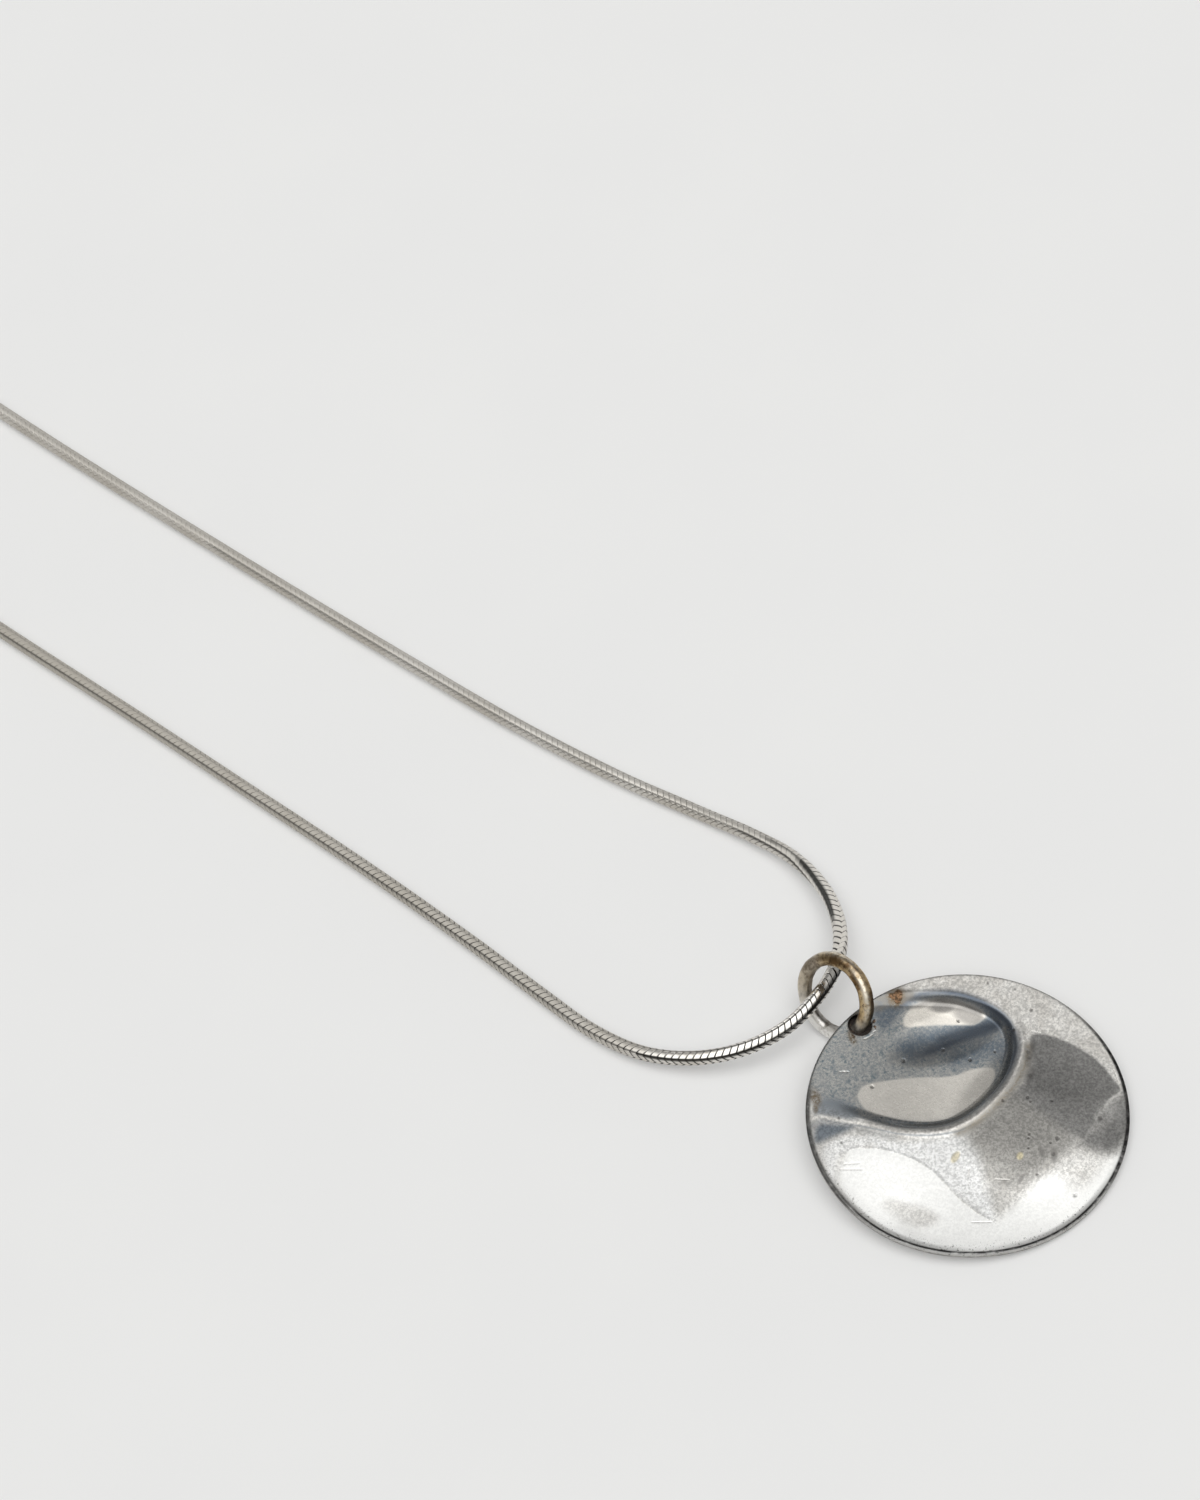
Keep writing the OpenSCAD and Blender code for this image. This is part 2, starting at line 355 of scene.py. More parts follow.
# %% Drill the hole
drill_sides = 72
drill_angle = np.linspace(0, 2 * math.pi, drill_sides, endpoint=False)
circle = hole_at + hole_d / 2 * np.c_[np.cos(drill_angle), np.sin(drill_angle)]
drill_points = np.concatenate([np.c_[circle, np.full(drill_sides, z)] for z in (3, -3)])
drill_points = np.concatenate([drill_points, [[*hole_at, 3], [*hole_at, -3]]])
drill = new_object("drill", drill_points, skin(2, drill_sides))
cut = disc.modifiers.new("hole", "BOOLEAN")
cut.operation, cut.object, cut.solver = "DIFFERENCE", drill, "MANIFOLD"
drilled = bpy.data.meshes.new_from_object(disc.evaluated_get(bpy.context.evaluated_depsgraph_get()))
disc.modifiers.clear()
disc.data = drilled
bpy.data.objects.remove(drill)
disc.data.shade_smooth()
disc.data.set_sharp_from_angle(angle=math.radians(50))
print("disc after drilling: %d points, %d faces" % (len(drilled.vertices), len(drilled.polygons)))

# %% [markdown]
# Years in a drawer left tarnish, and it follows the form: silver darkens where no finger rubs it. Much of the
# tone on the face is painted light as well: the scoop's steep wall and the valley inside it are blue-black,
# tarnish with painted dark reflection, the wide dent at the right is dull grey, oxide with painted dark
# reflection, and the high and flat places are painted bright as highlights of the soft box. Each mark is an
# outline in millimetres on the disc, drawn one by one, and becomes a mask on the mesh that the material
# reads. So a mark keeps its place and size when the colours change, and it stays on the metal from every
# side.

# %% Outlines as masks
def curve(corners, closed, steps=8):
    """A smooth line through given corners."""
    p = np.array(corners, float)
    p = np.concatenate([p[-1:], p, p[:2]]) if closed else np.concatenate([p[:1], p, p[-1:]])
    t = np.linspace(0, 1, steps, endpoint=False)[:, None]
    spans = [through(p[i - 1], p[i], p[i + 1], p[i + 2], t) for i in range(1, len(p) - 2)]
    return np.concatenate(spans + ([] if closed else [p[-1:]]))


co = np.empty(len(disc.data.vertices) * 3, np.float32)
disc.data.vertices.foreach_get("co", co)
face_xyz = co.reshape(-1, 3) / MM
face_xy = face_xyz[:, :2].astype(float)
ground_x, ground_y = face_xy.T


def distance(line, closed):
    """Distance of each point of the disc from a line of short straight pieces."""
    a = line if closed else line[:-1]
    b = np.roll(line, -1, axis=0) if closed else line[1:]
    best = np.full(len(face_xy), 1e9)
    for start, step in zip(a, b - a):
        t = np.clip((face_xy - start) @ step / max(step @ step, 1e-12), 0, 1)[:, None]
        best = np.minimum(best, np.linalg.norm(face_xy - start - t * step, axis=1))
    return best


def inside(line):
    """True for the points of the disc inside a closed line, by counting how often a ray crosses it."""
    odd = np.zeros(len(face_xy), bool)
    for (x0, y0), (x1, y1) in zip(line, np.roll(line, -1, axis=0)):
        if y0 != y1:
            crossing = (x1 - x0) * (ground_y - y0) / (y1 - y0) + x0
            odd ^= ((y0 > ground_y) != (y1 > ground_y)) & (ground_x < crossing)
    return odd


def area(corners, soft):
    """Mask of a patch: 1 inside its outline, 0 outside, and a fade of the given width over the edge."""
    line = curve(corners, True)
    away = distance(line, True)
    return smooth(0.5 + np.where(inside(line), away, -away) / soft)


def streak(corners, width, soft):
    """Mask of a streak of the given half width along a line, with a fade of the given width."""
    return smooth(0.5 + (width - distance(curve(corners, False), False)) / soft)


# Marks lie on the face that shows, so the underside and the rim's wall take none of them
under = face_xyz[:, 2] - relief(ground_x, ground_y)
on_face = smooth(0.5 + under / (disc_t / 2))
print("points on the face: %d" % (on_face > 0.5).sum())

# %% [markdown]
# The scoop first. Its wall is dark all the way round, and widest on its far side: tarnish with painted dark
# reflection. A dark valley runs across its floor, a painted dark reflection, and the two hollows beside that
# are painted bright as highlights of the soft box and look like warm grey glass.

# %% Marks inside the scoop
far_wall = [
    (5.8, 13), (7, 12.5), (8.5, 11.4), (9.8, 9.8), (10.5, 8.3), (10.9, 6.9), (11, 5.5), (10.9, 4),
    (10.5, 2.9), (10, 2.2),
]
near_wall = [
    (10, 2.2), (9, 1), (7, 0.1), (5, -0.4), (3, -0.45), (1, -0.2), (-1, 0.5), (-2.6, 1.6),
    (-4.1, 3.1), (-5.3, 4.9), (-6.3, 6.5), (-7.1, 8.2),
]
mouth_wall = [(-6.7, 7.4), (-7.3, 9.2), (-7.6, 11), (-7.7, 12.4)]
valley = [(1.2, 8.5), (3, 7.8), (4.6, 7.1), (6.4, 6.3), (8.2, 5.3), (10.2, 4.2)]
corner = [(7.4, 1.6), (9, 2.1), (10, 3.2)]
over_valley = [(2.2, 9.5), (3.8, 9), (5.4, 8), (7, 6.9), (8.6, 5.8), (10, 5)]
under_valley = [(4.6, 5), (6.4, 3.9), (8.2, 3)]
by_the_hole = [
    (2.2, 12.5), (2.7, 14), (4, 15.3), (5.6, 14.9), (6.8, 13.6), (7, 12.5), (5.4, 12.5), (3.8, 12.3),
]
# The darkest painted dark reflection, along the valley
deep = [(5.6, 7.6), (7, 6.9), (8.6, 5.7), (10, 4.6)]
# By the hole, painted shade over the wall's highlight
top_strip = [(3, 15.5), (4.6, 15.3), (6.6, 14.1), (7.6, 12.9), (6.8, 12.5), (5.2, 13.4), (3.4, 14.2)]
lens = [
    (4.1, 11), (4.5, 11.7), (5.6, 12), (6.8, 11.9), (8.1, 11.1), (9.3, 9.8), (10, 8.3), (10.4, 6.7),
    (10.3, 5.8), (9.6, 5.8), (8.8, 6.1), (7.9, 7.2), (6.5, 8.8), (5.1, 10.1),
]
lens_edge = [(7, 12), (8.3, 11), (9.4, 9.7), (10.1, 8.1), (10.3, 6.6)]
bean = [
    (-6, 8.4), (-5.5, 9.5), (-4.4, 9.9), (-3.4, 9.5), (-2, 8.5), (-0.5, 7.3), (1, 5.9), (2, 4.8),
    (3.2, 3.8), (4.6, 3.1), (5.6, 2.2), (6, 1.4), (5, 0.6), (2.6, 0.1), (0, 0.6), (-2, 1.8),
    (-3.8, 3.6), (-5.2, 5.8), (-6, 7.4),
]
# Towards its mouth the scoop has no wall, and its edge is only a fade
mouth = smooth((ground_y - 7.5) / 3) * smooth((-3 - ground_x) / 3)
in_scoop = smooth(0.5 - outside_scoop(ground_x, ground_y) / (0.5 + 2.6 * mouth))
# The two hollows are painted bright as highlights of the soft box
lens_mask = area(lens, 0.35)
bean_mask = area(bean, 0.3)
# The near wall is lighter towards the mouth
near_end = np.interp(ground_x, [-2, 1, 4, 8], [0.6, 0.5, 0.55, 0.95])
near_end = near_end * (1 - 0.85 * smooth((ground_y - 4) / 4) * (ground_x < 0))
# The wall's dark is tarnish with painted dark reflection
wall_mask = np.maximum.reduce([
    streak(far_wall, 0.35, 0.8) * (1 - 0.2 * smooth((ground_y - 9.5) / 2)),
    streak(near_wall, 0.5, 1.4) * near_end,
    streak(mouth_wall, 0.5, 2.2) * 0.2,
    streak(corner, 0.3, 2.4) * 0.85,
])
murky = (1 - lens_mask) * (1 - bean_mask)
# The valley and the darker patches round it and by the hole are painted dark reflection
valley_mask = streak(valley, 0.6, 2) * (1 - bean_mask) * smooth((ground_x + 0.5) / 4.5)
murk_mask = np.maximum.reduce([
    streak(over_valley, 1, 2),
    streak(under_valley, 0.9, 2.6),
    area(by_the_hole, 1.2) * 0.95,
]) * murky
print("share of the scoop that is clean: %.2f" % ((lens_mask + bean_mask).sum() / in_scoop.sum()))

# %% [markdown]
# Outside the scoop the face was left as cast and only brushed over. The wide right facet and the middle are
# grey, partly dulled oxide and partly painted dark reflection, the left and lower facets and a sandy patch
# are painted nearly white as highlights of the soft box, and a few dark and rusty spots sit at the rim.

# %% Marks outside the scoop
right_dent = [
    (10.6, 0.5), (11.5, 0.3), (12.2, -0.9), (12.7, -2.8), (12.9, -5), (12.7, -7), (12.1, -8.9), (11.6, -10.1),
    (10, -9.9), (8, -10.3), (6, -10.9), (4.4, -10.8), (3.6, -8), (3.5, -5), (3.8, -2.7), (5.6, -2.3),
    (7.6, -1.7), (9.2, -0.5),
]
lower_right = [
    (4.3, -10.6), (4.6, -12.4), (5.4, -13.6), (7.4, -13.9), (9.4, -13.1), (11.6, -11.2), (12, -10.3),
    (8, -10.1),
]
light_patch = [(6.2, -10.7), (7.6, -11.1), (9.4, -10.9)]
middle = [
    (-2.6, -1.5), (1, -1.9), (5, -2.2), (6, -5), (5.6, -9), (3.4, -10.3), (0, -9.8), (-3, -9.1),
    (-6.2, -8.4), (-5.6, -7.4), (-4.4, -5.8), (-3.9, -4.2), (-3.5, -2.6),
]
sandy = [
    (-8.6, 6.2), (-7.6, 4.6), (-6.8, 3.2), (-5, 1.2), (-3, -0.4), (-2.2, -2), (-3.2, -4), (-5, -6),
    (-6.6, -8.4), (-8.2, -9.6), (-7.8, -4), (-7.4, 0), (-8.6, 3.6),
]
above_white = [
    (-14.6, 5.2), (-13.2, 7.6), (-11.9, 8.4), (-10.2, 7.9), (-8.9, 6.6), (-8.4, 4.8), (-9.8, 5.6), (-12, 6.6),
]
left_white = [
    (-10.6, 6.2), (-9.4, 5), (-8.4, 3.4), (-7.7, 1.4), (-7.4, -0.6), (-7.6, -2.8), (-8.1, -5), (-8.3, -7.4),
    (-8.1, -10.4), (-9, -13), (-12.6, -10), (-14.8, -6.4), (-15.7, -2.6), (-15.6, 1.4), (-14.4, 4.8),
    (-12.2, 6.1),
]
low_white = [
    (-9.4, -9.9), (-5, -9.9), (-1.6, -10.2), (1.6, -10.6), (4, -11.6), (4.6, -13), (5.6, -14), (7.4, -14.3),
    (3.6, -15.6), (-1, -15.9), (-5, -15.2), (-9.6, -12.9),
]
left_dimple = [
    (-14, 0), (-12.6, -0.1), (-11.6, -1.7), (-11, -3.6), (-11, -4.9), (-11.8, -5.2), (-13, -4.4),
    (-14.1, -2.6),
]
dark_corner = [
    (-12.3, 9.3), (-11.3, 10.3), (-10.3, 10.4), (-9.6, 9.6), (-8.9, 8.6), (-8.3, 7.6), (-9.2, 7.8),
    (-10.8, 8.5),
]
corner_tail = [(-9.2, 8.3), (-8.2, 6.8), (-7.4, 5.2), (-6.7, 3.9)]
mouth_dark_patch = [(-9.8, 11.6), (-8.2, 12), (-7, 11), (-6.6, 9.4), (-7.2, 8), (-8.2, 8.6), (-9, 10)]
# Grime beside the lip, laid also as painted shade over the lip's reflection
lip_grime_and_shade_line = [(-2.4, -0.7), (-0.5, -1.4), (2, -1.7), (5, -1.7), (7.5, -1.2), (9.8, 0.1)]
# A painted highlight runs along the lip, and a line of painted shade outside it
lip_line = [
    (-10.6, 11.4), (-9.7, 10.9), (-9, 9.7), (-8.2, 8.2), (-7.4, 6.8), (-6.6, 5.2), (-5.9, 3.9), (-4.7, 2.2),
    (-3.3, 0.7), (-1.8, -0.3), (-0.2, -0.95), (1.6, -1.2), (4, -1.25), (6.4, -0.85), (8.8, 0), (10.6, 1.2),
]
lip_shade = [
    (-9.6, 10), (-8.7, 8.4), (-7.8, 6.9), (-7, 5.3), (-6.2, 3.7), (-5, 2), (-3.7, 0.6), (-2.2, -0.6),
    (-0.6, -1.3),
]
side_crease = [(-8.9, 4.8), (-7.7, 2.2), (-7.2, -0.4), (-7.4, -3), (-7.9, -5.4), (-8, -8.8)]
# The right facet's dull grey is oxide with painted dark reflection
crisp = smooth((ground_x - 8.5) / 2.5)
right_mask = crisp * area(right_dent, 0.35) + (1 - crisp) * area(right_dent, 1.5)
dull_and_dark_reflection_mask = np.maximum.reduce([
    right_mask * smooth((ground_x - 3.7) / 1.5),
    area(lower_right, 1.8) * (1 - 0.3 * streak(light_patch, 0.3, 1.3)),
])
middle_mask = area(middle, 2.4) * (0.3 + 0.7 * smooth((ground_x + 5.2) / 5))
dimple_mask = area(left_dimple, 1.3) * smooth((ground_x + 14.6) / 2.2) * 0.6
# The near-white of the left and lower facets is painted highlight
low_fade = 1 - 0.8 * smooth((ground_x + 1.5) / 3) * smooth((ground_y + 15.2) / 2.4)
low_mask = area(low_white, 1.7) * low_fade
left_crisp = smooth((ground_x + 12) / 2)
left_mask = left_crisp * area(left_white, 0.3) + (1 - left_crisp) * area(left_white, 1.8)
white_highlight_mask = np.maximum(left_mask, low_mask) * (1 - dimple_mask)
outside = 1 - in_scoop
# The sandy patch is painted highlight as well
sandy_highlight_mask = np.maximum(area(sandy, 1.4), area(above_white, 0.9) * 0.8)
# Slate grey: painted shade along the lip and the side crease, and darker patches at the scoop's mouth
slate_mask = np.maximum.reduce([
    area(dark_corner, 1),
    streak(corner_tail, 0.2, 1.2) * 0.5,
    streak([(-13, 9.8), (-11.4, 10.9), (-9.8, 10.2)], 0.4, 0.9) * 0.5,
    area(mouth_dark_patch, 1) * 0.8,
    streak(lip_shade, 0.09, 0.22) * 0.8,
    streak(side_crease, 0.05, 0.5) * 0.36,
])
print("share of the face that is dulled: %.2f" % (dull_and_dark_reflection_mask.sum() / on_face.sum()))

# %% [markdown]
# Small marks come next: rust where something iron lay, pits from the casting, smears, scratches with one
# painted glint among them, and the painted shades on the lens's highlight. They are ovals and lines, set one
# by one where the photograph shows them.

# %% Spots and scratches
# Ovals. Columns: x, y, half length, half width, turn in degrees
STAINS = [
    (6.1, 13.7, 0.5, 0.3, 30), (5.7, 14.1, 0.3, 0.2, 100), (2.35, 13.75, 0.2, 0.12, 15),
    (1.9, 13.25, 0.14, 0.1, 60), (-0.35, 14.2, 0.16, 0.1, 70),
]
BROWN_HAZE = [
    (-8.3, 12.6, 0.6, 0.3, 55), (-9.3, 11.8, 0.3, 0.15, 45), (-0.6, 14.2, 0.5, 0.2, 60),
    (6, 13.9, 0.7, 0.5, 40),
]
PALE_SPOTS = [(-4.7, -2.2, 0.5, 0.25, 10), (-0.7, -7.1, 0.3, 0.22, 20)]
SMEARS = [
    (7.3, -2.1, 0.5, 0.22, 25), (8.8, -0.8, 0.6, 0.16, 35), (1.6, -9.6, 0.4, 0.16, 35),
    (1.1, -8.4, 0.3, 0.12, 60), (10.2, -0.2, 0.4, 0.12, 30), (-2.6, -8.7, 0.3, 0.1, 10),
]
# Columns: x, y, size
PITS = [
    (13.3, 2.4, 0.14), (13, 7.7, 0.12), (7.8, -10.5, 0.2), (-0.5, -13.8, 0.14), (10.4, 2.4, 0.14),
    (8.2, 7.6, 0.12), (5.4, 3.9, 0.14), (0.9, 8.8, 0.18), (4.6, 6.7, 0.14), (-3.6, 9.2, 0.14),
    (3.2, -8.7, 0.16), (-10.6, 7.4, 0.1), (1.8, -6.3, 0.12), (-1.2, -9.6, 0.12), (14.2, 5.2, 0.1),
    (12.4, 10, 0.1), (-8.6, 9.4, 0.1), (0.5, -7.2, 0.1), (7.7, 2.6, 0.1), (-5.8, 6.3, 0.08),
    (7.2, -2.2, 0.24), (8.8, -0.8, 0.15), (9.3, -0.3, 0.13), (5, -3.6, 0.14), (4.8, -4.1, 0.1),
    (6.2, -5.7, 0.12), (1.4, -6.5, 0.1), (2.4, -8.5, 0.1), (1.6, -9.5, 0.18), (3.2, -1.9, 0.12),
]
# Each scratch is a line through points; the last, on the hole's near edge, is a painted glint
SCRATCHES = [
    [(-4.4, 12.6), (-3.9, 12)], [(-4.2, -6.8), (-3.4, -7.9)], [(-5.8, -4.6), (-4.9, -4.1)],
    [(-6.2, -6.9), (-5.2, -6.2)], [(-13, 5.6), (-11.6, 4)], [(-12.4, 5.8), (-11.2, 4.6)],
    [(11.4, 0.9), (11.8, 0.1)], [(9.6, 11.8), (10.6, 10.9)], [(-9.4, -8), (-8.2, -9.4)],
    [(12.2, -9.4), (13, -8.2)], [(-2.2, -9.4), (-1.2, -8.9)], [(0.1, 13.2), (0.7, 12.98), (1.5, 13.02)],
]


def spots(rows, fade):
    """Mask of small ovals, each 1 in its middle."""
    mask = np.zeros(len(face_xy))
    for x, y, length, width, turn in rows:
        a, b = along(ground_x, ground_y, (x, y), turn)
        mask = np.maximum(mask, smooth((1 + fade - np.hypot(a / length, b / width)) / fade))
    return mask


# Painted shades on the lens's painted highlight: an oval's columns, and its strength
SHADES = [(8.3, 9.7, 0.8, 0.35, -50, 0.9), (9.3, 7.2, 1, 0.6, -70, 0.8), (7, 8.8, 1.3, 0.4, -50, 0.35)]
lens_shade = [spots([oval], 1.4) * strength for *oval, strength in SHADES]
lens_shade = np.maximum.reduce([streak(lens_edge, 0.5, 0.9) * 0.9, *lens_shade])
pit_ovals = [(x, y, size, size * 0.8, 40) for x, y, size in PITS]
print("spots: %d" % len(STAINS + BROWN_HAZE + PALE_SPOTS + SMEARS + PITS))

# %% [markdown]
# Black dirt collects along the rim, with painted shade on the rim's edge and wall, and the hole's bore is
# painted dark brown as tarnish and the shade inside it. Both follow an outline, so they are worked out from
# the distance to it and from the bearing on the disc.

# %% Rim and hole
bearing, from_rim = np.degrees(np.arctan2(ground_y, ground_x)), disc_r - np.hypot(ground_x, ground_y)


def towards(turn, low, run):
    """1 towards a bearing on the disc and 0 away from it. It rises over a run of the cosine."""
    return smooth((np.cos(np.radians(bearing - turn)) - low) / run)


# The rim's dirt and painted shade are thickest from the left round to the lower right
dark_rim_side = towards(-100, -0.45, 0.7)
rim_line = np.maximum.reduce([
    smooth(1 - (from_rim - 0.3) / 0.16) * smooth(1 - (0.14 - from_rim) / 0.1) * dark_rim_side,
    smooth(1 - (from_rim - 0.22) / 0.3) * towards(-48, 0.72, 0.2),
    smooth(1 - (from_rim - 0.3) / 0.3) * towards(147, 0.82, 0.12) * 0.85,
    smooth(1 - (from_rim - 0.12) / 0.1) * 0.3,
])
grit = smooth(1 - from_rim / 2.2) * towards(205, 0.1, 0.5)
# The bore is painted dark brown: tarnish and the shade in the hole
bore = smooth((hole_d / 2 + 0.16 - np.hypot(ground_x - hole_at[0], ground_y - hole_at[1])) / 0.2)
# The rim's wall and underside are painted darker: dirt with the shade under the rim
rim_wall_dirt_and_shade = (1 - on_face) * (from_rim < 0.5) * (0.15 + 0.55 * dark_rim_side)
print("share of the face with dirt from the rim: %.3f" % (rim_line * on_face).mean())

# %% [markdown]
# All the marks are written on the mesh as masks, each under a name that the material reads.

# %% Masks on the disc
def draw_masks(piece, masks):
    """Masks written on the points of a piece, for its material to read."""
    for title, values in masks.items():
        layer = piece.data.attributes.new(title, "FLOAT", "POINT")
        layer.data.foreach_set("value", np.asarray(values).reshape(-1).astype(np.float32))


# Several masks paint light: the white and sandy facets, the scoop's two hollows and the lip are painted
# highlights, and the scoop's wall, valley and nearby patches, the slate lines, the lens shades, the rim line,
# the rim's wall and the grey facets carry painted shade and dark reflection besides tarnish and dirt.
MASKS = {
    "scoop": in_scoop,
    "clean": bean_mask,
    "lens": lens_mask,
    "lens_shade": lens_shade * lens_mask,
    "tarnish": np.clip(np.maximum(wall_mask, valley_mask), 0, 1),
    "murk": murk_mask,
    "deep": streak(deep, 0.4, 1.9) * murky,
    "strip": area(top_strip, 0.6),
    "dull": dull_and_dark_reflection_mask * outside,
    "middle": middle_mask * outside,
    "sandy": sandy_highlight_mask * outside,
    "white": white_highlight_mask * outside,
    "slate": slate_mask,
    "lip": streak(lip_line, 0.09, 0.2),
    "grime_and_shade": streak(lip_grime_and_shade_line, 0.35, 0.9),
    "rim_line": rim_line,
    "grit": grit,
    "stain": spots(STAINS, 1.2),
    "brown_haze": spots(BROWN_HAZE, 1.5),
    "pale_spot": spots(PALE_SPOTS, 0.8),
    # A line of painted shade along the lens's edge
    "lens_line": streak([(5.9, 12.3), (7.6, 11), (9.3, 8.7), (10.2, 6.4)], 0.22, 0.6),
    "pit": np.maximum(spots(pit_ovals, 0.9), spots(SMEARS, 2) * 0.6),
    "scratch": np.maximum.reduce([streak(line, 0.04, 0.16) for line in SCRATCHES]),
}
draw_masks(disc, {name: mask * on_face for name, mask in MASKS.items()})
draw_masks(disc, {"bore": bore, "rim_wall_dirt_and_shade": rim_wall_dirt_and_shade})
print("masks:", {name: round(float(mask.mean()), 3) for name, mask in MASKS.items()})

# %% [markdown]
# Sterling silver, cast and part polished. Clean silver reflects about nine tenths of the light that falls
# on it. The cast skin is a little sandy, with a grain of about 0.3 mm, and spreads the light; the polished
# scoop doesn't. The tarnish is silver sulphide: it starts as a warm tint, turns blue and ends nearly black.
# It is a film on metal and not paint, so it stays metallic and only darkens and tints the reflection.
# The colours are laid over each other in the order in which they came: metal, dulling, tarnish, dirt. Painted
# highlights, painted shade and painted dark reflections lie among them.

# %% Material of the disc
SKIN = {"cloud": (2.6, 3, 0.6), "blotch": (0.9, 3, 0.65), "grain": (0.3, 4, 0.8)}
sterling, tree, marks = start_material("cast_sterling_silver_tarnished", SKIN, [*MASKS, "bore", "rim_wall_dirt_and_shade"])
haze = laid(
    "#B6B5B1",
    ("#8C9092", ("grain", 0.36, 0.62)),
    ("#66737A", ("blotch", 0.45, 0.7), ("grain", 0.46, 0.58)),
)
lens_highlight = laid("#E4DFD6", ("#8E8B88", "lens_shade"))
rust = laid("#7D5F45", ("#33281F", ("grain", 0.42, 0.56)))
rusty = add(tree, "Math", {0: marks["stain"], 1: marks["grain"]}, operation="ADD").outputs[0]
colour = laid(
    "#DEDCD8",
    # The cast skin: its white and sandy patches are painted highlight, and its greys are dulled oxide with
    # painted dark reflection
    ("#D0CDC8", ("cloud", 0.35, 0.65)),
    ("#FAFAF9", "sandy"),
    ("#F7F7F5", "white"),
    ("#9D9B97", "middle"),
    ("#878684", "dull"),
    # The scoop: a tarnished haze, painted highlights on its two hollows with painted shade on the upper one,
    # tarnish with painted dark reflection on its wall and valley, and painted shade by the hole; then slate
    # painted shade and the lip's painted highlight
    (haze, "scoop"),
    ("#D3CFC8", "clean"),
    (lens_highlight, "lens"),
    ("#7B7977", "lens_line", 0.75),
    ("#616B75", "murk", ("grain", 0.3, 0.6, 0.65, 1)),
    ("#535A64", "tarnish"),
    ("#31363D", "deep", 0.75),
    ("#7E7B76", "strip", ("blotch", 0.35, 0.6, 0.6, 0.95)),
    ("#7C838A", "slate"),
    ("#EAE7E2", "lip"),
    # Dirt and wear, with painted shade in the rim line, the bore and the rim's wall, and a painted glint
    # among the scratches
    # Grime, which also paints shade over the lip's reflection
    ("#8A8377", "grime_and_shade", ("grain", 0.4, 0.58, 0.35, 1)),
    ("#D8CDA9", "pale_spot", 0.7),
    ("#66553A", "brown_haze", ("grain", 0.35, 0.6, 0.15, 0.85)),
    (rust, (rusty, 0.95, 1.4), 0.9),
    ("#4A4745", "pit", ("grain", 0.35, 0.6, 0.25, 0.8)),
    ("#F4F2EE", "scratch", 0.8),
    ("#3A3834", "grit", ("grain", 0.54, 0.64)),
    ("#2C2B2B", "rim_line", ("blotch", 0.3, 0.55, 0.7, 1)),
    ("#2E2620", "bore"),
    ("#3A3835", "rim_wall_dirt_and_shade", ("blotch", 0.35, 0.6, 0.5, 1)),
)
# The cast skin is sandy, and the scoop and the white facets much less so
sandiness = amount(("scoop", 0, 1, 1, 0), ("white", 0, 1, 1, 0.2))
skin_share = amount((sandiness, 0, 1, 0.2, 1))
mottle = amount(("grain", 0.4, 0.6, 0.7, 1.1), ("blotch", 0.35, 0.65, 0.92, 1.05))
mottling = {"data_type": "RGBA", "blend_type": "MULTIPLY"}
mottled = add(tree, "Mix", {0: 1, 6: colour, 7: mottle}, **mottling).outputs[2]
colour = laid(colour, (mottled, skin_share))
polish = amount(("scoop", 0, 1, 0.4, 0.22))
rough = add(tree, "Math", {0: polish, 1: amount("blotch", 0.1)}, operation="ADD").outputs[0]
cuts = add(tree, "Math", {0: marks["pit"], 1: marks["scratch"]}, operation="ADD").outputs[0]
sand = {0: amount("grain", skin_share), 1: cuts}
height = add(tree, "Math", sand, operation="SUBTRACT").outputs[0]
close_material(colour, rough, height, 0.03, 0.8)
disc.data.materials.clear()
disc.data.materials.append(sterling)
print("nodes of the disc's finish:", len(tree.nodes))

# %% [markdown]
# A dark brown plug fills the hole round the wire and stands in for the shade there, made to look like dried
# polish compound. It is made as a low plug with a rough top, a little under the disc's face, and the ring's
# wire goes through it.

# %% Crust in the hole
shade_plug_r, shade_plug_top, shade_plug_bottom, shade_plug_circles = hole_d / 2 - 0.01, -0.02, -0.25, 8
shade_plug_turn = np.tile(drill_angle, shade_plug_circles)
shade_plug_out = np.repeat(np.arange(1, shade_plug_circles + 1) / shade_plug_circles, drill_sides)
lumps = 0.05 * np.sin(shade_plug_turn * 5 + shade_plug_out * 7) + 0.04 * np.sin(shade_plug_turn * 11 - shade_plug_out * 9)
shade_plug_floor = relief(*np.array(hole_at)[:, None])[0]
shade_plug_xy = hole_at + shade_plug_r * shade_plug_out[:, None] * np.c_[np.cos(shade_plug_turn), np.sin(shade_plug_turn)]
shade_plug_face = np.c_[shade_plug_xy, shade_plug_floor + shade_plug_top + lumps * shade_plug_out]
shade_plug_back = shade_plug_face[-drill_sides:] * [1, 1, 0] + [0, 0, shade_plug_floor + shade_plug_bottom]
shade_plug_ends = [[*hole_at, shade_plug_floor + shade_plug_top], [*hole_at, shade_plug_floor + shade_plug_bottom]]
shade_plug_points = np.concatenate([shade_plug_face, shade_plug_back, shade_plug_ends])
shade_plug = new_object("hole_shade_plug", shade_plug_points, skin(shade_plug_circles + 1, drill_sides))
shade_plug.data.shade_smooth()
shade_plug_finish, tree, marks = start_material("dark_plug_painted_shade", {"crumbs": (0.25, 3, 0.7)})
colour = laid("#1F1712", ("#4A3C2E", ("crumbs", 0.52, 0.7)))
close_material(colour, 0.85, marks["crumbs"], 0.04, 0.8, 0)
shade_plug.data.materials.append(shade_plug_finish)
print("crust in the hole: %d faces" % len(shade_plug.data.polygons))

# %% [markdown]
# The disc lies on its rim and hangs on the ring, so its hole is the higher end. Both pieces are turned and
# moved as one, by the same numbers as the solid.

